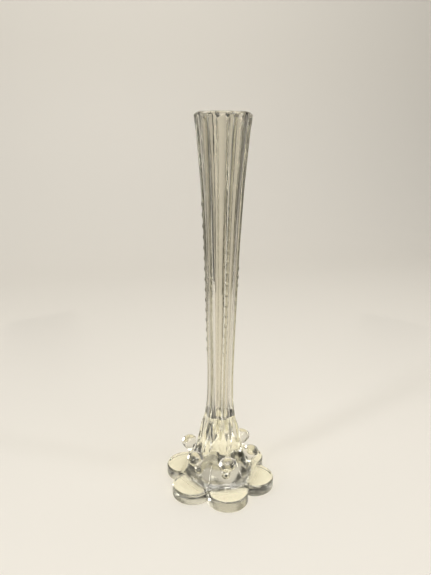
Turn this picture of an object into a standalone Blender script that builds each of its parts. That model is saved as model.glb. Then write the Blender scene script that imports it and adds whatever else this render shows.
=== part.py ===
"""Glass bud vase.

A tall, slim trumpet of clear pressed glass on a thick foot with six round petals. The trumpet is
hollow and six-sided: its panels are shallow flutes, and a rib runs up each ridge between them.
Every other rib carries a long row of beads, and the ribs between carry a short row. Below, each rib
runs down the flare as a root, turns out over the foot and ends in an upright bud.

Frame: metres, +Z up along the vase's axis, origin at the centre of the foot's underside. One petal
points along -Y, and the ribs wind slightly, anticlockwise seen from above, as they rise.
"""

import math

import bmesh
import bpy
from mathutils import Matrix, Vector

MM = 0.001
GAP = 0.3 * MM  # clearance between two pieces that meet
OVERRUN = 4 * MM  # how far a cutter runs on past the face that it cuts
WELD = 0.001 * MM  # points closer than this are one point

# Overall
VASE_HEIGHT = 300 * MM
SIDES = 6  # petals, buds, ribs and panels
SIDE_ANGLE = math.tau / SIDES
FRONT_ANGLE = -math.pi / 2  # where the first petal points
TWIST = math.radians(12)  # how far the ribs wind from the foot to the mouth

# Foot
FOOT_THICKNESS = 9.2 * MM
PETAL_RADIUS = 16.7 * MM
PETAL_CENTRE = 29.8 * MM  # from the vase's axis
PETAL_EDGE_ROUND = 1.2 * MM
PETAL_STEPS = 36
PETAL_EDGE_STEPS = 2
HUB_APOTHEM = 28.85 * MM  # from the axis to each flat that a petal meets
HUB_CORNER = HUB_APOTHEM / math.cos(SIDE_ANGLE / 2)

# Trumpet and flare: height and outer radius over the ridges, from the foot to the mouth
JOINT_HEIGHT = 62 * MM  # where the trumpet stands on the flare
RIDGE_LINE = [
    (FOOT_THICKNESS, HUB_CORNER),
    (14 * MM, 28.8 * MM),
    (22 * MM, 23.6 * MM),
    (30 * MM, 20.0 * MM),
    (38 * MM, 17.6 * MM),
    (48 * MM, 15.9 * MM),
    (60 * MM, 13.1 * MM),
    (74 * MM, 11.2 * MM),
    (96 * MM, 10.7 * MM),
    (120 * MM, 11.2 * MM),
    (150 * MM, 12.1 * MM),
    (185 * MM, 13.1 * MM),
    (215 * MM, 14.4 * MM),
    (245 * MM, 16.1 * MM),
    (275 * MM, 18.6 * MM),
    (290 * MM, 20.1 * MM),
    (VASE_HEIGHT, 22.3 * MM),
]
BORE_FLOOR = 44 * MM
BORE_LINE = [
    (BORE_FLOOR, 0.0),
    (45 * MM, 2.3 * MM),
    (48 * MM, 3.8 * MM),
    (60 * MM, 4.6 * MM),
    (104 * MM, 5.6 * MM),
    (165 * MM, 7.6 * MM),
    (235 * MM, 10.8 * MM),
    (275 * MM, 13.6 * MM),
    (VASE_HEIGHT, 16.0 * MM),
]
FLUTE_DEPTH = 0.15  # of the ridge radius, at the middle of a panel
FLUTE_CURVE = 1.84  # a flute's own radius, over the ridge radius
HEXAGON_BELOW = 12 * MM  # the flare is six-sided like the foot up to here
FLUTES_ABOVE = 46 * MM  # and fluted like the trumpet from here up
RIM_RADIUS = 18.4 * MM  # the ridges slope in to this at the mouth
RIM_SLOPE = 3.6 * MM  # height over which they do
TRUMPET_STEPS = 48
BORE_STEPS = 24
TRUMPET_ROWS = 17
FLARE_ROWS = 11
BORE_ROWS = 12
BORE_FLOOR_STATIONS = BORE_LINE[1:4]  # where its rounded floor turns up into the wall

# Ribs and their beads
RIB_RADIUS = 1.5 * MM
RIB_PROUD = 0.6 * MM  # how far a rib stands above the land that it is set in
RIB_ROWS = 19
RIB_TOP = 296.6 * MM
RIB_TOP_TAPER = 3 * MM
RIB_TOP_LEAN = 0.6 * MM  # how far the rib's tip turns in towards the mouth
BEAD_WIDTH = 2.9 * MM
BEAD_HEIGHT = 5.0 * MM
BEAD_PROUD = 0.5 * MM
BEAD_SEGMENTS = (8, 5)  # round and along
LONG_ROW = {"lowest": 118 * MM, "pitch": 8.3 * MM, "beads": 15}
SHORT_ROW = {"lowest": 173 * MM, "pitch": 6.5 * MM, "beads": 3}

# Roots: distance from the axis, height and thickness where each one bends
ROOT_LINE = [
    (11.4 * MM, 60 * MM, 1.6 * MM),
    (13.3 * MM, 48 * MM, 2.8 * MM),
    (15.2 * MM, 37 * MM, 3.3 * MM),
    (17.1 * MM, 29 * MM, 2.9 * MM),
    (18.9 * MM, 23.2 * MM, 2.8 * MM),
    (21.6 * MM, 19.4 * MM, 2.8 * MM),
    (25.1 * MM, 19.9 * MM, 2.5 * MM),
]
ROOT_STEPS_PER_BEND = 2
ROD_RESOLUTION = 2  # of every round rod's section

# Buds
BUD_SEAT = (25.6 * MM, 22.4 * MM)  # distance from the axis and height of the flat under a bud
BUD_LEAN = math.radians(10)  # outwards from upright
BUD_RISE = 5.7 * MM  # from its seat to its middle
BUD_SIZE = (5.5 * MM, 6.1 * MM, 7.3 * MM)  # half depth, half width, half height
BUD_SWELL = 0.65  # share by which it is wider at the top, and narrower at the bottom, than an egg
BUD_SEGMENTS = (16, 12)  # round and along
NECK_RADIUS = 2.0 * MM  # of the root's end, under the bud

# Glass
CLEAR_GLASS = (0.86, 0.88, 0.82, 1.0)
GLASS_IOR = 1.51
GLASS_TRANSMISSION = 0.9
FIRE_POLISHED_ROUGHNESS = 0.03
MOULDED_ROUGHNESS = 0.08
SMOOTH_BELOW = math.radians(35)
COLLECTION = "glass_bud_vase"


def clear_scene():
    for old in list(bpy.data.objects):
        bpy.data.objects.remove(old, do_unlink=True)


def new_collection(name):
    collection = bpy.data.collections.new(name)
    bpy.context.scene.collection.children.link(collection)
    return collection


def glass_material(name, roughness):
    """Clear soda glass with a faint warm grey tint."""
    material = bpy.data.materials.new(name)
    material.use_nodes = True
    shader = material.node_tree.nodes["Principled BSDF"]
    shader.inputs["Base Color"].default_value = CLEAR_GLASS
    shader.inputs["Roughness"].default_value = roughness
    shader.inputs["IOR"].default_value = GLASS_IOR
    shader.inputs["Transmission Weight"].default_value = GLASS_TRANSMISSION
    return material


def along(line, height):
    """Smooth curve through (height, value) stations, read at one height."""
    last = len(line) - 1
    i = max(0, min(last - 1, sum(station[0] <= height for station in line) - 1))

    def slope(k):
        low, high = line[max(0, k - 1)], line[min(last, k + 1)]
        return (high[1] - low[1]) / (high[0] - low[0])

    (z0, v0), (z1, v1) = line[i], line[i + 1]
    span = z1 - z0
    t = (height - z0) / span
    start = v0 * (1 + 2 * t) * (1 - t) ** 2 + slope(i) * span * t * (1 - t) ** 2
    end = v1 * (3 - 2 * t) * t**2 - slope(i + 1) * span * (1 - t) * t**2
    return start + end


def ridge_radius(height):
    return along(RIDGE_LINE, max(height, RIDGE_LINE[0][0]))


def wind(height):
    """Angle by which the ribs have wound round the axis at this height."""
    return TWIST * max(0.0, height - FOOT_THICKNESS) / (VASE_HEIGHT - FOOT_THICKNESS)


def fluted(angle):
    """Radius over ridge radius of the fluted section, whose ridges are SIDE_ANGLE apart."""
    off_panel = angle % SIDE_ANGLE - SIDE_ANGLE / 2
    centre = 1 - FLUTE_DEPTH + FLUTE_CURVE
    across = centre * math.sin(off_panel)
    return min(1.0, centre * math.cos(off_panel) - math.sqrt(FLUTE_CURVE**2 - across**2))


def hexagonal(angle):
    """Radius over corner radius of the hub's hexagon, whose flats face the petals."""
    off_flat = (angle + SIDE_ANGLE / 2) % SIDE_ANGLE - SIDE_ANGLE / 2
    return math.cos(SIDE_ANGLE / 2) / math.cos(off_flat)


def flute_share(height):
    """How far the section has gone from the foot's hexagon, 0, to the trumpet's flutes, 1."""
    t = (height - HEXAGON_BELOW) / (FLUTES_ABOVE - HEXAGON_BELOW)
    t = min(1.0, max(0.0, t))
    return t * t * (3 - 2 * t)


def section(angle, height):
    """Outer radius of the flare or trumpet over its ridge radius."""
    share = flute_share(height)
    return share * fluted(angle - wind(height)) + (1 - share) * hexagonal(angle)


def polar(radius, angle, height):
    return Vector((radius * math.cos(angle), radius * math.sin(angle), height))


def spread(low, high, count):
    return [low + (high - low) * i / (count - 1) for i in range(count)]


def add_object(name, mesh, collection):
    obj = bpy.data.objects.new(name, mesh)
    collection.objects.link(obj)
    return obj


def add_built(name, bm, collection):
    """Object from a finished bmesh, which this uses up."""
    mesh = bpy.data.meshes.new(name)
    bm.to_mesh(mesh)
    bm.free()
    return add_object(name, mesh, collection)


def freeze(obj):
    """Replace an object, with its modifiers or curve, by a plain mesh object in its place."""
    depsgraph = bpy.context.evaluated_depsgraph_get()
    mesh = bpy.data.meshes.new_from_object(obj.evaluated_get(depsgraph))
    name, matrix, collection = obj.name, obj.matrix_world.copy(), obj.users_collection[0]
    bpy.data.objects.remove(obj, do_unlink=True)
    solid = add_object(name, mesh, collection)
    solid.matrix_world = matrix
    return solid


def edit(obj, change):
    """Run one change on the object's mesh through bmesh."""
    bm = bmesh.new()
    bm.from_mesh(obj.data)
    change(bm)
    bm.to_mesh(obj.data)
    bm.free()
    obj.data.update()


def turned(name, profile, steps, collection):
    """Solid turned from a profile of (radius, height) points, listed from the top down."""
    points = [(r, 0, z) for r, z in profile]
    edges = [(i, i + 1) for i in range(len(profile) - 1)]
    mesh = bpy.data.meshes.new(name)
    mesh.from_pydata(points, edges, [])
    obj = add_object(name, mesh, collection)
    screw = obj.modifiers.new("turn", "SCREW")
    screw.steps = steps
    screw.render_steps = steps
    screw.use_merge_vertices = True
    screw.merge_threshold = WELD
    return freeze(obj)


def swept(name, points, radii, collection):
    """Round rod through the points, with its own radius at each one."""
    curve = bpy.data.curves.new(name, "CURVE")
    curve.dimensions = "3D"
    curve.bevel_depth = 1.0
    curve.bevel_resolution = ROD_RESOLUTION
    curve.use_fill_caps = True
    spline = curve.splines.new("POLY")
    spline.points.add(len(points) - 1)
    for knot, point, radius in zip(spline.points, points, radii):
        knot.co = (*point, 1.0)
        knot.radius = radius
    rod = freeze(add_object(name, curve, collection))
    edit(rod, lambda bm: bmesh.ops.remove_doubles(bm, verts=bm.verts, dist=WELD))
    return rod


def combine(target, tool, operation):
    """Boolean of two mesh objects, which uses the tool up."""
    boolean = target.modifiers.new(operation.lower(), "BOOLEAN")
    boolean.operation = operation
    boolean.solver = "EXACT"
    boolean.object = tool
    bpy.context.view_layer.update()
    result = freeze(target)
    bpy.data.objects.remove(tool, do_unlink=True)
    return result


def part_off(obj, point, outward):
    """Cut a solid at a plane, drop what lies outward of it and close the cut with a flat face."""

    def cut(bm):
        geometry = bm.verts[:] + bm.edges[:] + bm.faces[:]
        bmesh.ops.bisect_plane(
            bm, geom=geometry, plane_co=point, plane_no=outward, dist=WELD, clear_outer=True
        )
        rim = [edge for edge in bm.edges if edge.is_boundary]
        bmesh.ops.holes_fill(bm, edges=rim)
        bmesh.ops.recalc_face_normals(bm, faces=bm.faces)

    edit(obj, cut)


def press_section(obj, land_below_ridge):
    """Press a turned blank, made at ridge radius 1, to the vase's fluted and six-sided section."""

    def press(bm):
        for vert in bm.verts:
            reach = math.hypot(vert.co.x, vert.co.y)
            if reach == 0:
                continue
            height = vert.co.z
            angle = math.atan2(vert.co.y, vert.co.x)
            wound = angle + wind(height) * flute_share(height)
            ridge = ridge_radius(height)
            outer = min(section(wound, height) * ridge, ridge - land_below_ridge)
            if height > VASE_HEIGHT - RIM_SLOPE / 2:
                outer = min(outer, RIM_RADIUS)
            vert.co = polar(reach * outer, wound, height)

    edit(obj, press)


def bore_plug(collection, low, high):
    """Solid the shape of the bore between two heights."""
    heights = [z for z in spread(BORE_FLOOR, VASE_HEIGHT, BORE_ROWS) if low < z < high]
    heights += [z for z, _ in BORE_FLOOR_STATIONS if low < z < high]
    heights = sorted(set(heights) | {low, high}, reverse=True)
    profile = [(along(BORE_LINE, min(z, VASE_HEIGHT)), z) for z in heights]
    profile = [(0.0, high)] + profile
    if profile[-1][0] > 0:
        profile.append((0.0, low))
    return turned("bore_plug", profile, BORE_STEPS, collection)


def rib_path():
    """Middle line of the rib at angle 0, from below the joint to where its tip begins to taper."""
    heights = spread(JOINT_HEIGHT - OVERRUN, RIB_TOP - RIB_TOP_TAPER, RIB_ROWS)
    return [polar(ridge_radius(z) - RIB_RADIUS, wind(z), z) for z in heights]


def make_trumpet(parts, cutters):
    """Hollow fluted trumpet, grooved along its six ridges for the ribs."""
    foot_end = JOINT_HEIGHT + GAP
    heights = spread(foot_end, VASE_HEIGHT - RIM_SLOPE, TRUMPET_ROWS) + [VASE_HEIGHT]
    profile = [(0.0, VASE_HEIGHT)] + [(1.0, z) for z in reversed(heights)] + [(0.0, foot_end)]
    trumpet = turned("trumpet", profile, TRUMPET_STEPS, parts)
    press_section(trumpet, RIB_PROUD)
    plug = bore_plug(cutters, JOINT_HEIGHT - OVERRUN, VASE_HEIGHT + OVERRUN)
    trumpet = combine(trumpet, plug, "DIFFERENCE")
    mouth = VASE_HEIGHT + OVERRUN
    path = rib_path() + [polar(ridge_radius(VASE_HEIGHT) - RIB_RADIUS, wind(mouth), mouth)]
    for k in range(SIDES):
        groove = swept("groove", path, [RIB_RADIUS + GAP] * len(path), cutters)
        groove.rotation_euler.z = k * SIDE_ANGLE
        trumpet = combine(trumpet, groove, "DIFFERENCE")
    return trumpet


def bead(height, collection):
    """One bead on the crest of the rib at angle 0 before winding."""
    bm = bmesh.new()
    around, lengthwise = BEAD_SEGMENTS
    bmesh.ops.create_uvsphere(bm, u_segments=around, v_segments=lengthwise, radius=0.5)
    bmesh.ops.scale(bm, vec=(BEAD_WIDTH, BEAD_WIDTH, BEAD_HEIGHT), verts=bm.verts)
    obj = add_built("bead", bm, collection)
    obj.location = polar(ridge_radius(height) + BEAD_PROUD - BEAD_WIDTH / 2, wind(height), height)
    obj.rotation_euler.z = wind(height)
    return obj


def make_rib(name, row, parts, cutters):
    """Half-round rib with a row of beads, turned in and tapered at the mouth."""
    tip = polar(ridge_radius(RIB_TOP) - RIB_RADIUS - RIB_TOP_LEAN, wind(RIB_TOP), RIB_TOP)
    radii = [RIB_RADIUS] * RIB_ROWS + [RIB_RADIUS / 2]
    rib = swept(name, rib_path() + [tip], radii, parts)
    part_off(rib, (0, 0, JOINT_HEIGHT + GAP), (0, 0, -1))
    for i in range(row["beads"]):
        rib = combine(rib, bead(row["lowest"] + i * row["pitch"], cutters), "UNION")
    return rib


def on_bud_axis(rise):
    """Point on the first bud's own axis, at this distance above its seat."""
    reach, height = BUD_SEAT
    return polar(reach + rise * math.sin(BUD_LEAN), 0, height + rise * math.cos(BUD_LEAN))


def make_root(collection):
    """Rod that comes down the flare, turns out over the foot and ends square to its bud's axis."""
    stations = list(enumerate(ROOT_LINE))
    reach, height, radius = ([(i, station[part]) for i, station in stations] for part in range(3))
    steps = spread(0, len(ROOT_LINE) - 1, ROOT_STEPS_PER_BEND * (len(ROOT_LINE) - 1) + 1)
    points = [polar(along(reach, t), 0, along(height, t)) for t in steps]
    radii = [along(radius, t) for t in steps]
    return swept("root", points + [on_bud_axis(0)], radii + [NECK_RADIUS], collection)


def make_base(parts, cutters):
    """Solid hexagonal hub with the flare and its six roots above it, hollow at the top."""
    heights = [0.0] + spread(FOOT_THICKNESS, JOINT_HEIGHT, FLARE_ROWS)
    profile = [(0.0, JOINT_HEIGHT)] + [(1.0, z) for z in reversed(heights)] + [(0.0, 0.0)]
    base = turned("base", profile, TRUMPET_STEPS, parts)
    press_section(base, 0.0)
    for k in range(SIDES):
        root = make_root(cutters)
        root.rotation_euler.z = k * SIDE_ANGLE
        base = combine(base, root, "UNION")
    plug = bore_plug(cutters, BORE_FLOOR, JOINT_HEIGHT + OVERRUN)
    return combine(base, plug, "DIFFERENCE")


def make_petal(name, parts):
    """One round lobe of the foot, flat where it meets the hub."""
    bm = bmesh.new()
    bmesh.ops.create_cone(
        bm, cap_ends=True, segments=PETAL_STEPS, radius1=PETAL_RADIUS, radius2=PETAL_RADIUS,
        depth=FOOT_THICKNESS, matrix=Matrix.Translation((PETAL_CENTRE, 0, FOOT_THICKNESS / 2)),
    )
    petal = add_built(name, bm, parts)
    bevel = petal.modifiers.new("fire_polish", "BEVEL")
    bevel.width = PETAL_EDGE_ROUND
    bevel.segments = PETAL_EDGE_STEPS
    bevel.limit_method = "ANGLE"
    petal = freeze(petal)
    part_off(petal, (HUB_APOTHEM + GAP, 0, 0), (-1, 0, 0))
    return petal


def make_bud(name, parts):
    """Upright teardrop, full at the top and tapered to the flat at its foot."""
    bm = bmesh.new()
    around, lengthwise = BUD_SEGMENTS
    bmesh.ops.create_uvsphere(bm, u_segments=around, v_segments=lengthwise, radius=1.0)
    for vert in bm.verts:
        swell = 1 + BUD_SWELL * vert.co.z
        vert.co = Vector((vert.co.x * swell, vert.co.y * swell, vert.co.z))
    bmesh.ops.scale(bm, vec=BUD_SIZE, verts=bm.verts)
    bmesh.ops.rotate(bm, matrix=Matrix.Rotation(BUD_LEAN, 3, "Y"), verts=bm.verts)
    bmesh.ops.translate(bm, vec=on_bud_axis(BUD_RISE), verts=bm.verts)
    bud = add_built(name, bm, parts)
    part_off(bud, on_bud_axis(GAP), on_bud_axis(0) - on_bud_axis(1))
    return bud


def copies(original, name, places, material, collection, parent):
    """One object for each place round the axis, all sharing the original's mesh."""
    original.data.materials.clear()
    original.data.materials.append(material)
    original.data.shade_smooth()
    original.data.set_sharp_from_angle(angle=SMOOTH_BELOW)
    for number, place in enumerate(places, 1):
        label = f"{name}_{number}" if len(places) > 1 else name
        obj = add_object(label, original.data, collection)
        obj.parent = parent
        obj.rotation_euler.z = place * SIDE_ANGLE
    bpy.data.objects.remove(original, do_unlink=True)


def main():
    clear_scene()
    parts = new_collection(COLLECTION)
    cutters = new_collection("cutters")
    axis = bpy.data.objects.new("vase_axis", None)
    parts.objects.link(axis)
    axis.rotation_euler.z = FRONT_ANGLE

    fire_polished = glass_material("fire_polished_glass", FIRE_POLISHED_ROUGHNESS)
    moulded = glass_material("moulded_glass", MOULDED_ROUGHNESS)

    everywhere = range(SIDES)
    pieces = [
        (make_trumpet(parts, cutters), "trumpet_body", [0], fire_polished),
        (make_rib("long_rib", LONG_ROW, parts, cutters), "long_beaded_rib", everywhere[::2], moulded),
        (make_rib("short_rib", SHORT_ROW, parts, cutters), "short_beaded_rib", everywhere[1::2], moulded),
        (make_base(parts, cutters), "flared_base", [0], moulded),
        (make_petal("petal", parts), "foot_petal", everywhere, moulded),
        (make_bud("bud_blank", parts), "bud", everywhere, fire_polished),
    ]
    for original, name, places, material in pieces:
        copies(original, name, places, material, parts, axis)


main()
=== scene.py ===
"""Looks of the glass bud vase.

The vase is one piece of clear pressed glass. Each CAD node has a piece here that stands for it. The faces
where two pieces meet are marked JOINED, and are meant to let light straight through, as continuous glass
does. The marks have no effect yet: add_piece() resets them, so these faces too are drawn as glass, and the
joint at the top of the flare can be seen.

Frame: metres, +Z up along the vase's axis, origin at the centre of the underside. Angles are measured from
the first petal, which points along -Y.
"""

import math

import bmesh
import bpy
import numpy as np
from mathutils import Matrix, Vector


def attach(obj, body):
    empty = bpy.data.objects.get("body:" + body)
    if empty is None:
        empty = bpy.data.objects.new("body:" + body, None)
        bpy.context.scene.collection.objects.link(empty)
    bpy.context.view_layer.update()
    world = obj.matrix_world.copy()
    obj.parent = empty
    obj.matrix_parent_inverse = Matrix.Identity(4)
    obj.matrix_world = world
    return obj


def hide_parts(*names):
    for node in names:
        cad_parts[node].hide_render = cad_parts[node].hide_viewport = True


MM = 0.001

# Shape of the vase, in millimetres. A few values differ slightly from the CAD part's, because forms that
# butt there melt into each other here: the hub, the buds, one station of the roots and the ribs' tops.
VASE_HEIGHT = 300.0
SIDES = 6
SIDE_ANGLE = math.tau / SIDES
FRONT_ANGLE = -math.pi / 2
TWIST = math.radians(12)
FOOT_THICKNESS = 9.2
PETAL_RADIUS = 16.7
PETAL_CENTRE = 29.8
HUB_APOTHEM = 29.2
JOINT_HEIGHT = 62.0
RIDGE_LINE = [  # height, radius over the ridges
    (9.2, 33.31),
    (14, 28.8),
    (22, 23.6),
    (30, 20.0),
    (38, 17.6),
    (48, 15.9),
    (60, 13.1),
    (74, 11.2),
    (96, 10.7),
    (120, 11.2),
    (150, 12.1),
    (185, 13.1),
    (215, 14.4),
    (245, 16.1),
    (275, 18.6),
    (290, 20.1),
    (300, 22.3),
]
FLARE_SLOPE = 0.94  # of the ridge line where it enters the foot
FLARE_FADE = 1.2  # how much further out it gets inside the foot, as its slope dies away
BORE_FLOOR = 44.0
BORE_LINE = [  # height, radius
    (44, 0.0),
    (45, 2.3),
    (48, 3.8),
    (60, 4.6),
    (104, 5.6),
    (165, 7.6),
    (235, 10.8),
    (275, 13.6),
    (300, 16.0),
]
FLUTE_DEPTH = 0.15  # depth and radius of a flute, as shares of the radius over the ridges
FLUTE_CURVE = 1.84
HEXAGON_BELOW = 12.0
FLUTES_ABOVE = 46.0
HEXAGON_SHARE = 0.5  # the flare's section is partly a hexagon and partly round
ROUND_SHARE = 0.46
HEXAGON_EASE = 0.06
RIM_RADIUS = 18.4
RIM_SLOPE = 3.6  # height over which the ridges slope in by RIM_INWARD
RIM_INWARD = 4.0
RIM_ROUND = 1.0
LIP_CROWN = 0.12
RIB_RADIUS = 1.5
RIB_PROUD = 0.6
RIB_FROM = 50.0  # below this the roots take the place of the ribs
RIB_LAND = (30, 52)  # heights between which the ridge gives way to a rib that stands proud of it
RIB_TOP = 296.0
RIB_FADE = 3.0
RIB_RUN_OUT = 0.4
RIB_SINK = 0.9  # share of its height by which a rib sinks at its top
BEAD_HALF = (1.45, 2.5)  # across and along the rib
BEAD_PROUD = 0.5
LONG_ROW = [118 + 8.3 * i for i in range(15)]
SHORT_ROW = [173 + 6.5 * i for i in range(3)]
ROOT_TOPS = (70.0, 65.0)  # heights at which a root is still the rib
ROOT_LINE = [  # distance from the axis, height, radius
    (11.4, 60, 1.6),
    (13.3, 48, 2.8),
    (15.2, 37, 3.3),
    (17.0, 29, 2.6),
    (18.9, 23.2, 2.8),
    (21.6, 19.4, 2.8),
    (25.1, 19.9, 2.5),
]
BUD_SEAT = (25.6, 22.4)  # distance from the axis, height
BUD_LEAN = math.radians(10)
BUD_RISE = 5.7
BUD_HALF = (5.3, 6.1, 7.3)  # outwards, sideways and along the bud
BUD_SWELL = 0.65
NECK_RADIUS = 2.0
HUB_DISC = 24.0  # radius of the round plate that joins the petals
FOOT_EDGES = (2.0, 1.1)  # rounding of the foot's upper and lower edges

# Reach of the soft unions that melt one form into the next, in millimetres
PETAL_BLEND = 0.5
DISC_BLEND = 1.0
FLARE_BLEND = 6.0
FLARE_BLEND_SPAN = (1.0, 8.5)  # heights between which it grows to that
LEAST_BLEND = 1e-4
ROOT_BLEND = 2.6
ROOT_BLEND_SPAN = (64, 46)
LEAST_ROOT_BLEND = 0.35
BUD_BLEND = 0.9
LAND_BLEND = 0.5
RIB_BLEND = 0.35
BEAD_BLEND = 0.25
RIM_BLEND = 0.8
BORE_BLEND = 1.0

SEEN, JOINED = 0, 1  # material slots: the glass surface, and where it goes on into the next piece
HAIR = 0.01  # each piece stops this short of the plane where it meets the next, in millimetres


def station_slopes(line):
    """Heights, values and slopes of a line's stations."""
    z, v = np.array(line, float).T
    slopes = np.empty(len(z))
    slopes[1:-1] = (v[2:] - v[:-2]) / (z[2:] - z[:-2])
    slopes[0] = (v[1] - v[0]) / (z[1] - z[0])
    slopes[-1] = (v[-1] - v[-2]) / (z[-1] - z[-2])
    return z, v, slopes


def along(line, height):
    """Smooth curve through (height, value) stations, read at an array of heights."""
    z, v, slopes = station_slopes(line)
    i = np.clip(np.searchsorted(z, height, side="right") - 1, 0, len(z) - 2)
    span = z[i + 1] - z[i]
    t = (height - z[i]) / span
    start = v[i] * (1 + 2 * t) * (1 - t) ** 2 + slopes[i] * span * t * (1 - t) ** 2
    end = v[i + 1] * (3 - 2 * t) * t**2 - slopes[i + 1] * span * (1 - t) * t**2
    return start + end


def ridge_radius(z):
    """Radius over the ridges. Inside the foot the flare's slope dies away without a crease."""
    low = RIDGE_LINE[0][0]
    inside_foot = FLARE_FADE * (1 - np.exp(-FLARE_SLOPE / FLARE_FADE * np.maximum(low - z, 0)))
    return along(RIDGE_LINE, np.maximum(z, low)) + inside_foot


def bore_radius(z):
    return along(BORE_LINE, np.clip(z, BORE_FLOOR, VASE_HEIGHT))


def wind(z):
    return TWIST * np.maximum(0.0, z - FOOT_THICKNESS) / (VASE_HEIGHT - FOOT_THICKNESS)


def smoothstep(low, high, x):
    t = np.clip((x - low) / (high - low), 0, 1)
    return t * t * (3 - 2 * t)


def soft_min(a, b, k):
    h = np.maximum(k - np.abs(a - b), 0) / k
    return np.minimum(a, b) - h * h * k / 4


def soft_max(a, b, k):
    return -soft_min(-a, -b, k)


def fluted(off_ridge):
    """Radius of the fluted section, over the radius of its ridges."""
    off_panel = SIDE_ANGLE / 2 - np.abs(off_ridge)
    centre = 1 - FLUTE_DEPTH + FLUTE_CURVE
    across = centre * np.sin(off_panel)
    return centre * np.cos(off_panel) - np.sqrt(np.maximum(FLUTE_CURVE**2 - across**2, 0))


def hexagonal(off_ridge):
    """Radius, over the ridge radius, of an eased hexagon whose flats face the ridges."""
    near = np.cos(off_ridge) / math.cos(SIDE_ANGLE / 2)
    next_one = np.cos(SIDE_ANGLE - np.abs(off_ridge)) / math.cos(SIDE_ANGLE / 2)
    return HEXAGON_SHARE / soft_max(near, next_one, HEXAGON_EASE) + ROUND_SHARE


def bead_reach(off_ridge, z, ridge, heights):
    """Radius of the nearest bead's surface where it is met, and 0 elsewhere."""
    across, lengthwise = BEAD_HALF
    nearest = np.array(heights)[np.abs(z[..., None] - np.array(heights)).argmin(-1)]
    centre = ridge + BEAD_PROUD - across
    left = 1 - ((z - nearest) / lengthwise) ** 2 - (centre * np.sin(off_ridge) / across) ** 2
    return np.where(left > 0, centre * np.cos(off_ridge) + across * np.sqrt(np.maximum(left, 0)), 0)


def outer_radius(off_ridge, z, beads=None):
    """Outer radius of the trumpet with its ribs, at an angle off a ridge."""
    ridge = ridge_radius(z)
    share = smoothstep(HEXAGON_BELOW, FLUTES_ABOVE, z)
    panel = ridge * (share * fluted(off_ridge) + (1 - share) * hexagonal(off_ridge))
    land = ridge - RIB_PROUD * smoothstep(*RIB_LAND, z)
    radius = soft_min(panel, land, LAND_BLEND)
    fade = smoothstep(RIB_TOP + RIB_RUN_OUT, RIB_TOP - RIB_FADE, z)
    centre = ridge - RIB_RADIUS - (1 - fade) * RIB_SINK * RIB_PROUD
    left = RIB_RADIUS**2 - (centre * np.sin(off_ridge)) ** 2
    rib = np.where(left > 0, centre * np.cos(off_ridge) + np.sqrt(np.maximum(left, 0)), 0)
    radius = np.where(z > RIB_FROM, soft_max(radius, rib, RIB_BLEND), radius)
    if beads is not None:
        radius = soft_max(radius, bead_reach(off_ridge, z, ridge, beads), BEAD_BLEND)
    return radius


def waves(angle, z):
    """Faint waviness of hand-drawn glass, in millimetres."""
    slow = np.sin(3 * angle + z / 17.0) * np.sin(z / 23.0 + 1.3)
    streaks = np.sin(17 * angle + 0.6 * np.sin(z / 40.0)) + 0.6 * np.sin(29 * angle + 2.1 + z / 90.0)
    return 0.035 * slow + 0.012 * streaks


def bore_waves(angle, z):
    """The same for the bore, a little fainter and out of step with the outside."""
    return 0.8 * waves(angle + 1.0, z + 9)


# --- Trumpet and ribs: rows of points run up the outside, over the rim and down the bore ---

RIB_STEPS = 14
PANEL_STEPS = 18
COLUMNS = SIDES * (RIB_STEPS + PANEL_STEPS)
STRIP_HALF = 1.75  # half width of a rib's strip, in millimetres
ROW_STEP = 0.42  # between the outside rows along the beads; elsewhere only every third row is kept
BEAD_MARGIN = 4  # how far past the end beads the rows stay close
BORE_STEP = 2.2
LIP_ANGLES = (0, 20, 38, 54, 68, 80, 90)
BORE_LIP_ANGLES = (0, 18, 36, 54, 72, 90)
ABOVE_RIBS = [296.4, 296.8, 297.3, 297.8, 298.4]  # heights of the rows between the ribs and the lip
BED_DEPTH = 1.3  # depth of the groove that a rib lies in
BED_SHAPE = 0.7  # below 1, the groove is fuller towards its edges than a sine
WELD = 0.002


def row_angles(z):
    """Angle of each column at height z, and its offset from the nearest ridge."""
    half = STRIP_HALF / (ridge_radius(z) - RIB_PROUD)
    strip = np.linspace(-half, half, RIB_STEPS + 1)[:-1]
    panel = np.linspace(half, SIDE_ANGLE - half, PANEL_STEPS + 1)[:-1]
    offsets = np.concatenate([strip, panel])
    sector = np.arange(SIDES)[:, None] * SIDE_ANGLE
    angles = (sector + offsets[None, :]).ravel() + wind(z)
    off = (np.tile(offsets, SIDES) + SIDE_ANGLE / 2) % SIDE_ANGLE - SIDE_ANGLE / 2
    return angles, off


def rim_limited(radius, z):
    """The ridges slope in towards the mouth, and the lip's edge is rounded."""
    slope = RIM_RADIUS + (VASE_HEIGHT - z) * RIM_INWARD / RIM_SLOPE
    radius = soft_min(radius, slope, RIM_BLEND)
    above = np.clip((z - VASE_HEIGHT + RIM_ROUND) / RIM_ROUND, 0, 1)
    return radius - RIM_ROUND * (1 - np.sqrt(1 - above**2))


def outside_heights():
    fine = np.arange(JOINT_HEIGHT + HAIR, RIB_TOP - 0.2, ROW_STEP)
    low, high = LONG_ROW[0] - BEAD_MARGIN, LONG_ROW[-1] + BEAD_MARGIN
    keep = [z for i, z in enumerate(fine) if i % 3 == 0 or low < z < high]
    lip = [VASE_HEIGHT - RIM_ROUND * (1 - math.sin(math.radians(a))) for a in LIP_ANGLES]
    return keep + [RIB_TOP] + ABOVE_RIBS + lip


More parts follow.
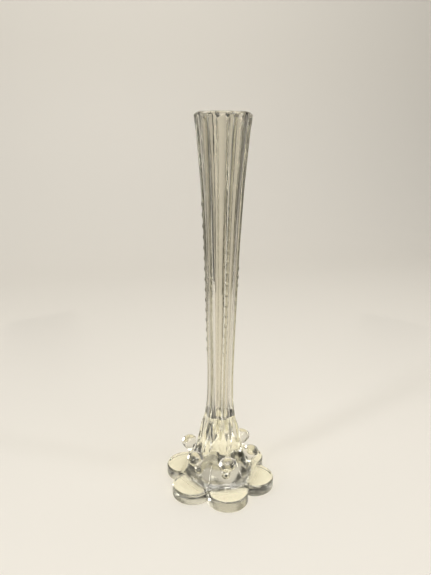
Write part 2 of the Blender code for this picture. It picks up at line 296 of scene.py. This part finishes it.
def point_rows():
    """Outside rows from the joint to the lip, then rows across the lip and down the bore."""
    outside = outside_heights()
    sector = np.arange(COLUMNS) // (RIB_STEPS + PANEL_STEPS)
    in_strip = np.arange(COLUMNS) % (RIB_STEPS + PANEL_STEPS) <= RIB_STEPS
    rows = []
    for z in outside:
        angles, off = row_angles(z)
        height = np.full(COLUMNS, float(z))
        long_one = outer_radius(off, height, LONG_ROW)
        short_one = outer_radius(off, height, SHORT_ROW)
        plain = outer_radius(off, height)
        radius = np.where(in_strip, np.where(sector % 2 == 0, long_one, short_one), plain)
        radius = rim_limited(radius + waves(angles, z), height)
        rows.append((radius, angles, height))
    outer, angles, _ = rows[-1]
    inner = bore_radius(np.full(COLUMNS, VASE_HEIGHT)) + RIM_ROUND
    for share in (0.25, 0.5, 0.75):
        crown = LIP_CROWN * math.sin(math.pi * share)
        height = np.full(COLUMNS, VASE_HEIGHT - LIP_CROWN + crown)
        rows.append((outer + (inner - outer) * share, angles, height))
    inside = [VASE_HEIGHT - RIM_ROUND * (1 - math.cos(math.radians(a))) for a in BORE_LIP_ANGLES]
    inside += list(np.arange(297, JOINT_HEIGHT + 1.5, -BORE_STEP)) + [JOINT_HEIGHT + HAIR]
    for z in inside:
        angles, _ = row_angles(z)
        above = max(0.0, (z - VASE_HEIGHT + RIM_ROUND) / RIM_ROUND)
        radius = bore_radius(np.full(COLUMNS, z)) + RIM_ROUND * (1 - math.sqrt(1 - min(1, above) ** 2))
        rows.append((radius + bore_waves(angles, z), angles, np.full(COLUMNS, float(z))))
    return outside, rows


def to_points(radius, angles, heights):
    """Positions in metres."""
    a = angles + FRONT_ANGLE
    return np.stack([radius * np.cos(a), radius * np.sin(a), heights], -1) * MM


class Shell:
    """Points and faces of one piece, which is welded when it is made into a mesh."""

    def __init__(self):
        self.points, self.faces, self.slots = [], [], []
        self.count = 0

    def add(self, points, faces, slot):
        points = np.asarray(points).reshape(-1, 3)
        self.points.append(points)
        self.faces.extend([[self.count + i for i in face] for face in faces])
        self.slots.extend([slot] * len(faces))
        self.count += len(points)

    def grid(self, points, slot, closed=False, flip=False):
        """Quads between the rows of an array of points, rows by columns by 3."""
        rows, columns = points.shape[:2]
        across = columns if closed else columns - 1
        faces = []
        for i in range(rows - 1):
            for j in range(across):
                k = (j + 1) % columns
                quad = [i * columns + j, i * columns + k, (i + 1) * columns + k, (i + 1) * columns + j]
                faces.append(quad[::-1] if flip else quad)
        self.add(points, faces, slot)

    def mesh(self, name):
        mesh = bpy.data.meshes.new(name)
        points = np.concatenate(self.points)
        mesh.from_pydata(points.tolist(), [], self.faces)
        mesh.polygons.foreach_set("material_index", self.slots)
        bm = bmesh.new()
        bm.from_mesh(mesh)
        bmesh.ops.remove_doubles(bm, verts=bm.verts, dist=WELD * MM)
        bm.to_mesh(mesh)
        bm.free()
        return mesh


def make_upper():
    """Trumpet and six ribs. A rib is the strip of the outer surface over its own half of the seam."""
    outside, rows = point_rows()
    top = outside.index(RIB_TOP)
    grid = np.stack([to_points(*row) for row in rows])
    trumpet = Shell()
    ribs = []
    stride = RIB_STEPS + PANEL_STEPS
    bed_shape = np.sin(np.linspace(0, math.pi, RIB_STEPS + 1)) ** BED_SHAPE
    for k in range(SIDES):
        columns = [(k * stride + i) % COLUMNS for i in range(stride + 1)]
        strip = grid[: top + 1, columns[: RIB_STEPS + 1]]
        panel = grid[: top + 1, columns[RIB_STEPS:]]
        trumpet.grid(panel, SEEN)
        share = np.linspace(0, 1, RIB_STEPS + 1)[None, :, None]
        bed = strip[:, :1] * (1 - share) + strip[:, -1:] * share
        inward = bed * np.array([1, 1, 0])
        inward = inward / np.linalg.norm(inward, axis=-1, keepdims=True)
        depth = (MM * bed_shape)[None, :, None]
        rib_bed = bed - inward * BED_DEPTH * depth
        groove = bed - inward * (BED_DEPTH + 2 * HAIR) * depth
        trumpet.grid(groove, JOINED)
        trumpet.grid(np.stack([groove[-1], strip[-1]]), JOINED)
        rib_strip = strip.copy()
        rib_strip[-1, :, 2] -= 2 * HAIR * MM
        rib_bed[-1, :, 2] -= 2 * HAIR * MM
        rib = Shell()
        rib.grid(rib_strip, SEEN)
        rib.grid(rib_bed, JOINED, flip=True)
        rib.grid(np.stack([rib_strip[-1], rib_bed[-1]]), JOINED)
        rib.grid(np.stack([rib_bed[0], rib_strip[0]]), JOINED)
        ribs.append(rib)
        outline = np.concatenate([groove[0][:-1], panel[0]])
        inner = grid[-1, columns]
        trumpet.grid(np.stack([inner, outline]), JOINED)
    trumpet.grid(grid[top:], SEEN, closed=True)
    return trumpet, ribs


# --- Base, roots, buds and petals: one smooth solid, cut where the pieces meet ---


def segment_distance(x, y, z, a, b):
    """Distance to a rod from a to b, each (x, z, radius), in the plane y = 0."""
    ax, az, ar = a
    bx, bz, br = b
    dx, dz = bx - ax, bz - az
    t = np.clip(((x - ax) * dx + (z - az) * dz) / (dx * dx + dz * dz), 0, 1)
    return np.sqrt((x - ax - t * dx) ** 2 + y**2 + (z - az - t * dz) ** 2) - (ar + t * (br - ar))


def on_bud_axis(rise):
    """Distance from the vase's axis, and height, of a point on a bud's axis above its seat."""
    return BUD_SEAT[0] + rise * math.sin(BUD_LEAN), BUD_SEAT[1] + rise * math.cos(BUD_LEAN)


def root_points():
    """Points and radii along a root's smooth curve, from the rib above to the bud's seat."""
    stations = np.array(ROOT_LINE, float)
    steps = np.arange(len(stations), dtype=float)
    t = np.linspace(0, len(stations) - 1, 4 * (len(stations) - 1) + 1)
    curves = [along(list(zip(steps, stations[:, i])), t) for i in range(3)]
    seat = on_bud_axis(0)
    above = [(float(ridge_radius(np.array(z))) - RIB_RADIUS, z, RIB_RADIUS) for z in ROOT_TOPS]
    return above + list(zip(*curves)) + [(*seat, NECK_RADIUS)]


ROOT_POINTS = root_points()


def root_field(x, y, z):
    """Signed distance to the root that lies over y = 0."""
    root = np.full(len(x), 1e9)
    for a, b in zip(ROOT_POINTS, ROOT_POINTS[1:]):
        root = np.minimum(root, segment_distance(x, y, z, a, b))
    return root


def bud_field(x, y, z):
    """Signed distance, about, to the bud over y = 0: an egg that swells upwards."""
    cx, cz = on_bud_axis(BUD_RISE)
    ux = (x - cx) * math.cos(BUD_LEAN) - (z - cz) * math.sin(BUD_LEAN)
    uz = (x - cx) * math.sin(BUD_LEAN) + (z - cz) * math.cos(BUD_LEAN)
    hx, hy, hz = BUD_HALF
    swell = 1 + BUD_SWELL * np.clip(uz / hz, -0.9, 1.1)
    k0 = np.sqrt((ux / hx / swell) ** 2 + (y / hy / swell) ** 2 + (uz / hz) ** 2)
    k1 = np.sqrt((ux / (hx * swell) ** 2) ** 2 + (y / (hy * swell) ** 2) ** 2 + (uz / hz**2) ** 2)
    return k0 * (k0 - 1) / np.maximum(k1, 1e-6)


def in_sector_frame(p):
    """Angles off the first and the nearest ridge, radius, and place along and across the nearest root."""
    z = p[:, 2]
    rho = np.hypot(p[:, 0], p[:, 1])
    share = smoothstep(HEXAGON_BELOW, FLUTES_ABOVE, z)
    angle = np.arctan2(p[:, 1], p[:, 0]) - FRONT_ANGLE - wind(z) * share
    off = (angle + SIDE_ANGLE / 2) % SIDE_ANGLE - SIDE_ANGLE / 2
    return angle, off, rho, rho * np.cos(off), rho * np.sin(off)


def base_field(p):
    """Signed distance, about, to the foot, flare and roots. p is an array of points in millimetres."""
    z = p[:, 2]
    _, off, rho, x, y = in_sector_frame(p)

    own = np.hypot(x - PETAL_CENTRE, y) - PETAL_RADIUS
    mirror = math.cos(SIDE_ANGLE), math.sin(SIDE_ANGLE)
    other = np.hypot(x - PETAL_CENTRE * mirror[0], np.abs(y) - PETAL_CENTRE * mirror[1]) - PETAL_RADIUS
    outline = soft_min(soft_min(own, other, PETAL_BLEND), rho - HUB_DISC, DISC_BLEND)
    edge = np.where(z > FOOT_THICKNESS / 2, *FOOT_EDGES)
    thick = np.abs(z - FOOT_THICKNESS / 2) - FOOT_THICKNESS / 2
    qx, qz = outline + edge, thick + edge
    foot = np.hypot(np.maximum(qx, 0), np.maximum(qz, 0)) + np.minimum(np.maximum(qx, qz), 0) - edge

    step = 0.5
    radius = outer_radius(off, z)
    slope = (outer_radius(off, z + step) - radius) / step
    flare = (rho - radius) / np.sqrt(1 + slope**2)
    flare = np.maximum(flare, -z)

    flare_blend = FLARE_BLEND * smoothstep(*FLARE_BLEND_SPAN, z) + LEAST_BLEND
    root_blend = ROOT_BLEND * smoothstep(*ROOT_BLEND_SPAN, z) + LEAST_ROOT_BLEND
    body = soft_min(foot, flare, flare_blend)
    body = soft_min(body, root_field(x, y, z), root_blend)
    near_joint = smoothstep(54, 60, z)
    return body * (1 - near_joint) + flare * near_joint


def lower_field(p):
    """Signed distance, about, to the whole lower part of the vase, with its bore."""
    z = p[:, 2]
    angle, _, rho, x, y = in_sector_frame(p)
    body = soft_min(base_field(p), bud_field(x, y, z), BUD_BLEND)
    body = body - waves(angle, z) * smoothstep(8, 40, z)
    bore = rho - bore_radius(z) - bore_waves(angle, z)
    bore = np.where(z < BORE_FLOOR + 4, soft_max(bore, BORE_FLOOR - z, BORE_BLEND), bore)
    return np.maximum(body, -bore)


def field_in_chunks(points, size=400_000):
    return np.concatenate([lower_field(points[i : i + size]) for i in range(0, len(points), size)])


def gradient(points, step=0.02):
    out = np.empty_like(points)
    for axis in range(3):
        shift = np.zeros(3)
        shift[axis] = step
        out[:, axis] = (field_in_chunks(points + shift) - field_in_chunks(points - shift)) / (2 * step)
    return out


def pull_to_surface(points, rounds):
    for _ in range(rounds):
        slope = gradient(points)
        square = np.maximum((slope**2).sum(1), 0.05)
        points = points - slope * np.clip(field_in_chunks(points) / square, -0.6, 0.6)[:, None]
    return points


def surface_net(low, high, pitch):
    """Quad mesh of the surface where lower_field is 0, in a box of cells."""
    counts = [int(round((b - a) / pitch)) + 1 for a, b in zip(low, high)]
    axes = [a + pitch * np.arange(n) for a, n in zip(low, counts)]
    xs, ys, zs = np.meshgrid(*axes, indexing="ij")
    values = field_in_chunks(np.stack([xs.ravel(), ys.ravel(), zs.ravel()], -1)).reshape(counts)
    inside = values < 0
    cells = [n - 1 for n in counts]
    corners = [(i, j, k) for i in (0, 1) for j in (0, 1) for k in (0, 1)]
    total = np.zeros(cells, np.int8)
    for i, j, k in corners:
        total += inside[i : i + cells[0], j : j + cells[1], k : k + cells[2]]
    active = (total > 0) & (total < 8)
    index = np.full(cells, -1, np.int64)
    index[active] = np.arange(active.sum())
    cell = np.argwhere(active)
    centre_sum, crossings = np.zeros((len(cell), 3)), np.zeros(len(cell))
    for axis in range(3):
        step = np.zeros(3, int)
        step[axis] = 1
        for corner in corners:
            if corner[axis]:
                continue
            start = cell + corner
            v0 = values[tuple(start.T)]
            v1 = values[tuple((start + step).T)]
            crossed = (v0 < 0) != (v1 < 0)
            t = np.where(crossed, v0 / np.where(crossed, v0 - v1, 1), 0)
            centre_sum += crossed[:, None] * (start + t[:, None] * step)
            crossings += crossed
    points = np.array(low) + pitch * centre_sum / crossings[:, None]
    quads = []
    for axis in range(3):
        u, v = (axis + 1) % 3, (axis + 2) % 3
        first = [slice(1, -1)] * 3
        second = [slice(1, -1)] * 3
        first[axis], second[axis] = slice(0, -1), slice(1, None)
        a, b = inside[tuple(first)], inside[tuple(second)]
        for leaving in (True, False):
            spot = np.argwhere((a & ~b) if leaving else (~a & b))
            spot[:, u] += 1
            spot[:, v] += 1
            ring = []
            for du, dv in ((0, 0), (1, 0), (1, 1), (0, 1)):
                at = spot.copy()
                at[:, u] -= du
                at[:, v] -= dv
                ring.append(index[tuple(at.T)])
            quad = np.stack(ring if leaving else ring[::-1], -1)
            quads.append(quad)
    return points, np.concatenate(quads)


def relax(points, quads, rounds):
    """Even the mesh out along the surface."""
    edges = np.concatenate([quads[:, [i, (i + 1) % 4]] for i in range(4)])
    for _ in range(rounds):
        total, count = np.zeros_like(points), np.zeros(len(points))
        for a, b in ((0, 1), (1, 0)):
            np.add.at(total, edges[:, a], points[edges[:, b]])
            np.add.at(count, edges[:, a], 1)
        mean = total / count[:, None]
        points = pull_to_surface(points * 0.5 + mean * 0.5, 1)
    return points


CUT_SNAP = 0.0005  # points this near a cut are taken to lie on it, in millimetres


def plane_cut(bm, point, normal, faces):
    """Cut away what lies on the side that normal points to, and close the cut with flat faces."""
    edges = {e for f in faces for e in f.edges}
    verts = {v for f in faces for v in f.verts}
    bmesh.ops.bisect_plane(
        bm,
        geom=list(verts) + list(edges) + list(faces),
        plane_co=point,
        plane_no=normal,
        dist=CUT_SNAP,
        clear_outer=True,
    )
    rim = [e for e in bm.edges if e.is_boundary]
    made = bmesh.ops.triangle_fill(bm, edges=rim, use_beauty=True, normal=normal)["geom"]
    for face in made:
        if isinstance(face, bmesh.types.BMFace):
            face.material_index = JOINED
    bmesh.ops.recalc_face_normals(bm, faces=bm.faces)


PETAL_BELOW = 16  # the petals lie wholly below this height, and the buds above it


def is_petal(point, out, beyond):
    """Whether a point of the foot lies further out than beyond, in the sector of the petal towards out."""
    return point.dot(out) > beyond and in_sector(point, out) and point.z < PETAL_BELOW


def keep_faces(bm, wanted):
    """Delete all the faces but the wanted ones."""
    wanted = set(wanted)
    gone = [f for f in bm.faces if f not in wanted]
    bmesh.ops.delete(bm, geom=gone, context="FACES")


def shaped_mesh(bm, name):
    """Mesh in metres whose glass faces are shaded by the true slope of the surface."""
    mesh = bpy.data.meshes.new(name)
    bm.to_mesh(mesh)
    bm.free()
    points = np.empty(len(mesh.vertices) * 3)
    mesh.vertices.foreach_get("co", points)
    points = points.reshape(-1, 3)
    slope = gradient(points)
    slope /= np.maximum(np.linalg.norm(slope, axis=1, keepdims=True), 1e-9)
    corner = np.empty(len(mesh.loops), np.int32)
    mesh.loops.foreach_get("vertex_index", corner)
    normals = slope[corner]
    for polygon in mesh.polygons:
        if polygon.material_index == JOINED:
            for i in polygon.loop_indices:
                normals[i] = polygon.normal
    mesh.vertices.foreach_set("co", (points * MM).ravel())
    mesh.update()
    mesh.shade_smooth()
    mesh.normals_split_custom_set(normals.tolist())
    return mesh


BUD_ROOT = 0.8  # how far below its seat a bud's faces are taken before they are cut at it
SEAT_MARGIN = 1.0  # how far round its neck, and SEAT_RISE how far above it, a root's end reaches
SEAT_RISE = 1.5


def bud_faces(bm):
    """Faces of the buds, and of the ends of the roots just below the seats."""
    faces = bm.faces[:]
    centres = np.array([face.calc_center_median() for face in faces])
    _, _, _, x, y = in_sector_frame(centres)
    z = centres[:, 2]
    seat_x, seat_z = BUD_SEAT
    rise = (x - seat_x) * math.sin(BUD_LEAN) + (z - seat_z) * math.cos(BUD_LEAN)
    aside = np.hypot((x - seat_x) * math.cos(BUD_LEAN) - (z - seat_z) * math.sin(BUD_LEAN), y)
    on_bud = bud_field(x, y, z) < base_field(centres)
    near_seat = aside < NECK_RADIUS + SEAT_MARGIN
    keep = (rise > -BUD_ROOT) & (on_bud | (near_seat & (rise < SEAT_RISE)))
    return [face for face, kept in zip(faces, keep) if kept]


def cut_frame(k):
    """Direction of one petal, and the seat and direction of its bud."""
    angle = FRONT_ANGLE + k * SIDE_ANGLE
    out = Vector((math.cos(angle), math.sin(angle), 0))
    reach, height = BUD_SEAT
    up = out * math.sin(BUD_LEAN) + Vector((0, 0, math.cos(BUD_LEAN)))
    return out, out * reach + Vector((0, 0, height)), up


def in_sector(point, out):
    """Whether a point is nearer to the direction out than to the petals on either side."""
    return abs(point.dot(Vector((-out.y, out.x, 0)))) < math.tan(SIDE_ANGLE / 2) * point.dot(out)


NET_LOW, NET_HIGH = (-48.3, -48.3, -1.3), (48.4, 48.4, 66.0)  # box of the surface net
PITCH, QUICK_PITCH = 0.55, 0.7


def make_lower():
    """Meshes of the base, the petals and the buds, cut from one smooth surface."""
    points, quads = surface_net(NET_LOW, NET_HIGH, PITCH)
    points = pull_to_surface(points, 2)
    points = relax(points, quads, 3)
    whole = bpy.data.meshes.new("lower")
    whole.from_pydata(points.tolist(), [], quads.tolist())
    found = {}
    for k in range(SIDES):
        out, seat, up = cut_frame(k)
        petal = bmesh.new()
        petal.from_mesh(whole)
        lobe = [f for f in petal.faces if is_petal(f.calc_center_median(), out, HUB_APOTHEM - 2)]
        keep_faces(petal, lobe)
        plane_cut(petal, out * (HUB_APOTHEM + HAIR), -out, petal.faces[:])
        found["foot_petal", k] = shaped_mesh(petal, f"petal_{k}")
        bud = bmesh.new()
        bud.from_mesh(whole)
        keep_faces(bud, [f for f in bud_faces(bud) if in_sector(f.calc_center_median(), out)])
        plane_cut(bud, seat + up * HAIR, -up, bud.faces[:])
        found["bud", k] = shaped_mesh(bud, f"bud_{k}")
    base = bmesh.new()
    base.from_mesh(whole)
    for k in range(SIDES):
        out, seat, up = cut_frame(k)
        near = [f for f in bud_faces(base) if in_sector(f.calc_center_median(), out)]
        plane_cut(base, seat - up * HAIR, up, near)
        low = [f for f in base.faces if f.calc_center_median().z < PETAL_BELOW]
        plane_cut(base, out * (HUB_APOTHEM - HAIR), out, low)
    plane_cut(base, Vector((0, 0, JOINT_HEIGHT - HAIR)), Vector((0, 0, 1)), base.faces[:])
    found["base"] = shaped_mesh(base, "base")
    return found


# --- Materials ---


class Nodes:
    """Short way to build a material's nodes."""

    def __init__(self, name):
        self.material = bpy.data.materials.new(name)
        self.material.use_nodes = True
        self.tree = self.material.node_tree
        self.tree.nodes.clear()

    def add(self, kind, inputs=None, **settings):
        node = self.tree.nodes.new(kind)
        for key, value in settings.items():
            setattr(node, key, value)
        for key, value in (inputs or {}).items():
            if isinstance(value, bpy.types.NodeSocket):
                self.tree.links.new(value, node.inputs[key])
            else:
                node.inputs[key].default_value = value
        return node


SHADOW_TINT = (0.78, 0.77, 0.72, 1)  # what the glass lets through of the light that falls through it


def glass(name, tint, roughness, relief):
    """Clear glass with drawn-out streaks, a soft pressed skin, smears and a worn underside.

    Lamp light goes straight through it, so that the vase's shadow is as pale as glass makes it.
    """
    n = Nodes(name)
    where = n.add("ShaderNodeTexCoord").outputs["Object"]
    drawn = n.add("ShaderNodeMapping", {"Vector": where, "Scale": (420, 420, 9)}).outputs[0]
    streaks = n.add(
        "ShaderNodeTexNoise", {"Vector": drawn, "Scale": 1.0, "Detail": 3.0, "Roughness": 0.55}
    ).outputs[0]
    skin = n.add(
        "ShaderNodeTexNoise", {"Vector": where, "Scale": 260.0, "Detail": 2.0, "Roughness": 0.5}
    ).outputs[0]
    height = n.add("ShaderNodeMath", {0: streaks, 1: skin}, operation="ADD").outputs[0]
    bump = n.add("ShaderNodeBump", {"Height": height, "Strength": relief, "Distance": 0.0004}).outputs[0]
    smear = n.add(
        "ShaderNodeTexNoise", {"Vector": where, "Scale": 38.0, "Detail": 4.0, "Roughness": 0.6}
    ).outputs[0]
    smear = n.add(
        "ShaderNodeMapRange",
        {
            "Value": smear,
            "From Min": 0.52,
            "From Max": 0.78,
            "To Min": roughness,
            "To Max": roughness + 0.05,
        },
    ).outputs[0]
    above_table = n.add("ShaderNodeSeparateXYZ", {0: where}).outputs["Z"]
    scratches = n.add(
        "ShaderNodeTexNoise", {"Vector": where, "Scale": 900.0, "Detail": 3.0, "Roughness": 0.7}
    ).outputs[0]
    underside = n.add(
        "ShaderNodeMapRange",
        {
            "Value": above_table,
            "From Min": 0.0003,
            "From Max": 0.0001,
            "To Min": 0.0,
            "To Max": 0.22,
        },
    ).outputs[0]
    worn = n.add("ShaderNodeMath", {0: underside, 1: scratches}, operation="MULTIPLY").outputs[0]
    rough = n.add("ShaderNodeMath", {0: smear, 1: worn}, operation="ADD").outputs[0]
    shader = n.add(
        "ShaderNodeBsdfPrincipled",
        {
            "Base Color": tint,
            "Roughness": rough,
            "IOR": 1.51,
            "Transmission Weight": 1.0,
            "Normal": bump,
        },
    ).outputs[0]
    clear = n.add("ShaderNodeBsdfTransparent", {"Color": SHADOW_TINT}).outputs[0]
    ray = n.add("ShaderNodeLightPath").outputs["Is Shadow Ray"]
    both = n.add("ShaderNodeMixShader", {0: ray, 1: shader, 2: clear}).outputs[0]
    n.add("ShaderNodeOutputMaterial", {"Surface": both})
    return n.material


def joined_glass():
    """Meant for where the glass goes on into the next piece. No face uses it yet: see add_piece()."""
    n = Nodes("glass_goes_on")
    clear = n.add("ShaderNodeBsdfTransparent", {"Color": (1, 1, 1, 1)}).outputs[0]
    n.add("ShaderNodeOutputMaterial", {"Surface": clear})
    return n.material


def plain(name, colour, roughness):
    n = Nodes(name)
    shader = n.add("ShaderNodeBsdfPrincipled", {"Base Color": colour, "Roughness": roughness}).outputs[0]
    n.add("ShaderNodeOutputMaterial", {"Surface": shader})
    return n.material


# --- Stage ---


def stage_mesh(name, points, faces, material):
    mesh = bpy.data.meshes.new(name)
    mesh.from_pydata(points, [], faces)
    mesh.materials.append(material)
    obj = bpy.data.objects.new(name, mesh)
    bpy.context.scene.collection.objects.link(obj)
    return obj


# Metres
FLOOR_COLOUR = (0.84, 0.81, 0.755, 1)
FLOOR_FRONT, FLOOR_HALF_WIDTH = -1.6, 2.2
COVE_START, COVE_RADIUS = 0.7, 0.5
BACKDROP_TOP = 2.2
FLOOR_DROP = 0.0002  # keeps the floor's face clear of the vase's underside


def cyclorama():
    """Pale floor that curves up into a backdrop behind the vase."""
    profile = [(FLOOR_FRONT, 0.0), (COVE_START, 0.0)]
    for degrees in range(6, 91, 6):
        a = math.radians(degrees)
        profile.append((COVE_START + COVE_RADIUS * math.sin(a), COVE_RADIUS - COVE_RADIUS * math.cos(a)))
    profile.append((COVE_START + COVE_RADIUS, BACKDROP_TOP))
    points = [(x, y, z) for y, z in profile for x in (-FLOOR_HALF_WIDTH, FLOOR_HALF_WIDTH)]
    faces = [(2 * i, 2 * i + 1, 2 * i + 3, 2 * i + 2) for i in range(len(profile) - 1)]
    floor = stage_mesh("floor", points, faces, plain("pale_floor", FLOOR_COLOUR, 0.6))
    floor.data.shade_smooth()
    floor.location.z = -FLOOR_DROP


def area_light(name, place, target, size, power, colour):
    data = bpy.data.lights.new(name, "AREA")
    data.shape = "RECTANGLE"
    data.size, data.size_y = size
    data.energy = power
    data.color = colour
    obj = bpy.data.objects.new(name, data)
    obj.location = place
    obj.rotation_euler = (Vector(target) - Vector(place)).to_track_quat("-Z", "Y").to_euler()
    bpy.context.scene.collection.objects.link(obj)


CARDS = [  # degrees to either side of straight behind, half width in degrees, brightness
    (34, 6, 0.03),
    (64, 11, 0.06),
    (90, 8, 0.08),
    (150, 8, 0.05),
]
CARD_DISTANCE = 0.5
CARD_HEIGHT = 1.0


def card(name, azimuth, half_width, level):
    """Upright, dim card beside the vase, which shows only in the glass and shades nothing."""
    n = Nodes(name)
    glow = n.add("ShaderNodeEmission", {"Color": (1.0, 0.95, 0.86, 1), "Strength": level}).outputs[0]
    n.add("ShaderNodeOutputMaterial", {"Surface": glow})
    angles = np.radians(np.linspace(azimuth - half_width, azimuth + half_width, 9))
    circle = [(CARD_DISTANCE * math.sin(a), -CARD_DISTANCE * math.cos(a)) for a in angles]
    points = [(x, y, z) for x, y in circle for z in (0.0, CARD_HEIGHT)]
    faces = [(2 * i, 2 * i + 2, 2 * i + 3, 2 * i + 1) for i in range(len(angles) - 1)]
    obj = stage_mesh(name, points, faces, n.material)
    obj.visible_camera = False
    obj.visible_diffuse = False
    obj.visible_shadow = False


CAMERA_AZIMUTH = math.radians(-12.8)  # from -Y; lengths in metres
CAMERA_DISTANCE = 0.405
CAMERA_HEIGHT = 0.2879
CAMERA_ASIDE = 0.0045
CAMERA_PITCH = math.radians(16.216)
CAMERA_ROLL = math.radians(0.45)
CAMERA_LENS = 34.12

WORLD_COLOUR, WORLD_STRENGTH = (0.75, 0.74, 0.70, 1), 0.4
MIDDLE = (0, 0, 0.15)  # of the vase
LAMPS = [  # name, place, target, size, power, colour
    ("window", (-0.95, -0.45, 0.75), MIDDLE, (0.14, 0.9), 3.8, (1.0, 0.98, 0.94)),
    ("fill", (0.95, -0.5, 0.55), MIDDLE, (0.1, 0.8), 2.6, (1.0, 0.97, 0.92)),
    ("top", (0.05, -0.35, 1.25), MIDDLE, (0.8, 0.5), 6.2, (1.0, 0.98, 0.95)),
    ("backdrop", (0.0, 0.2, 1.6), (0, 0.9, 0.3), (1.2, 0.4), 5.6, (1.0, 0.965, 0.91)),
]


def lights():
    world = bpy.data.worlds.new("studio")
    bpy.context.scene.world = world
    world.use_nodes = True
    background = world.node_tree.nodes["Background"].inputs
    background["Color"].default_value = WORLD_COLOUR
    background["Strength"].default_value = WORLD_STRENGTH
    for lamp in LAMPS:
        area_light(*lamp)
    behind = 180 + math.degrees(CAMERA_AZIMUTH)
    for number, (aside, half_width, level) in enumerate(CARDS):
        for side in (-1, 1):
            card(f"card_{number}_{side + 1}", behind + aside * side, half_width, level)


def camera():
    data = bpy.data.cameras.new("camera")
    data.lens = CAMERA_LENS
    obj = bpy.data.objects.new("camera", data)
    towards = Vector((math.sin(CAMERA_AZIMUTH), -math.cos(CAMERA_AZIMUTH), 0))
    right = Vector((math.cos(CAMERA_AZIMUTH), math.sin(CAMERA_AZIMUTH), 0))
    obj.location = towards * CAMERA_DISTANCE - right * CAMERA_ASIDE + Vector((0, 0, CAMERA_HEIGHT))
    turn = Matrix.Rotation(CAMERA_AZIMUTH, 4, "Z") @ Matrix.Rotation(math.pi / 2 - CAMERA_PITCH, 4, "X")
    obj.rotation_euler = (turn @ Matrix.Rotation(CAMERA_ROLL, 4, "Z")).to_euler()
    bpy.context.scene.collection.objects.link(obj)
    bpy.context.scene.camera = obj


# --- Assembly ---


def add_piece(name, mesh, node, material):
    # Clearing the materials also sends every face back to the first slot, the JOINED ones included.
    mesh.materials.clear()
    mesh.materials.append(material)
    mesh.materials.append(JOINED_GLASS)
    obj = bpy.data.objects.new(name, mesh)
    bpy.context.scene.collection.objects.link(obj)
    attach(obj, "root")
    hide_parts(node)


def smooth_upper(mesh):
    mesh.shade_smooth()
    mesh.set_sharp_from_angle(angle=math.radians(40))


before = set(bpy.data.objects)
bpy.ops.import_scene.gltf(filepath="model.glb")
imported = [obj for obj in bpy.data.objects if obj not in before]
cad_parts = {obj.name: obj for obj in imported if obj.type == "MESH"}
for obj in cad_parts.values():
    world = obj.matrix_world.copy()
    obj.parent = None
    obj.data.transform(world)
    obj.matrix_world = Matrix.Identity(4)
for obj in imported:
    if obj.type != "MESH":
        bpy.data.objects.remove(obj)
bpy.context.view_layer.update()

POLISHED = glass("polished_glass", (0.91, 0.89, 0.82, 1), 0.0, 0.10)
PRESSED = glass("pressed_glass", (0.885, 0.875, 0.79, 1), 0.012, 0.14)
JOINED_GLASS = joined_glass()

trumpet, ribs = make_upper()
mesh = trumpet.mesh("trumpet")
smooth_upper(mesh)
add_piece("trumpet_glass", mesh, "trumpet_body", POLISHED)
for k, rib in enumerate(ribs):
    kind = "short" if k % 2 else "long"
    mesh = rib.mesh(f"{kind}_rib")
    smooth_upper(mesh)
    number = k // 2 + 1
    add_piece(f"{kind}_rib_glass_{number}", mesh, f"{kind}_beaded_rib_{number}", PRESSED)
lower = make_lower()
add_piece("base_glass", lower["base"], "flared_base", PRESSED)
for k in range(SIDES):
    number = k + 1
    petal, bud = lower["foot_petal", k], lower["bud", k]
    add_piece(f"petal_glass_{number}", petal, f"foot_petal_{number}", PRESSED)
    add_piece(f"bud_glass_{number}", bud, f"bud_{number}", POLISHED)

cyclorama()
lights()
camera()
bpy.context.scene.view_settings.view_transform = "Standard"
cycles = bpy.context.scene.cycles
cycles.max_bounces = 32
cycles.transmission_bounces = 28
cycles.transparent_max_bounces = 96
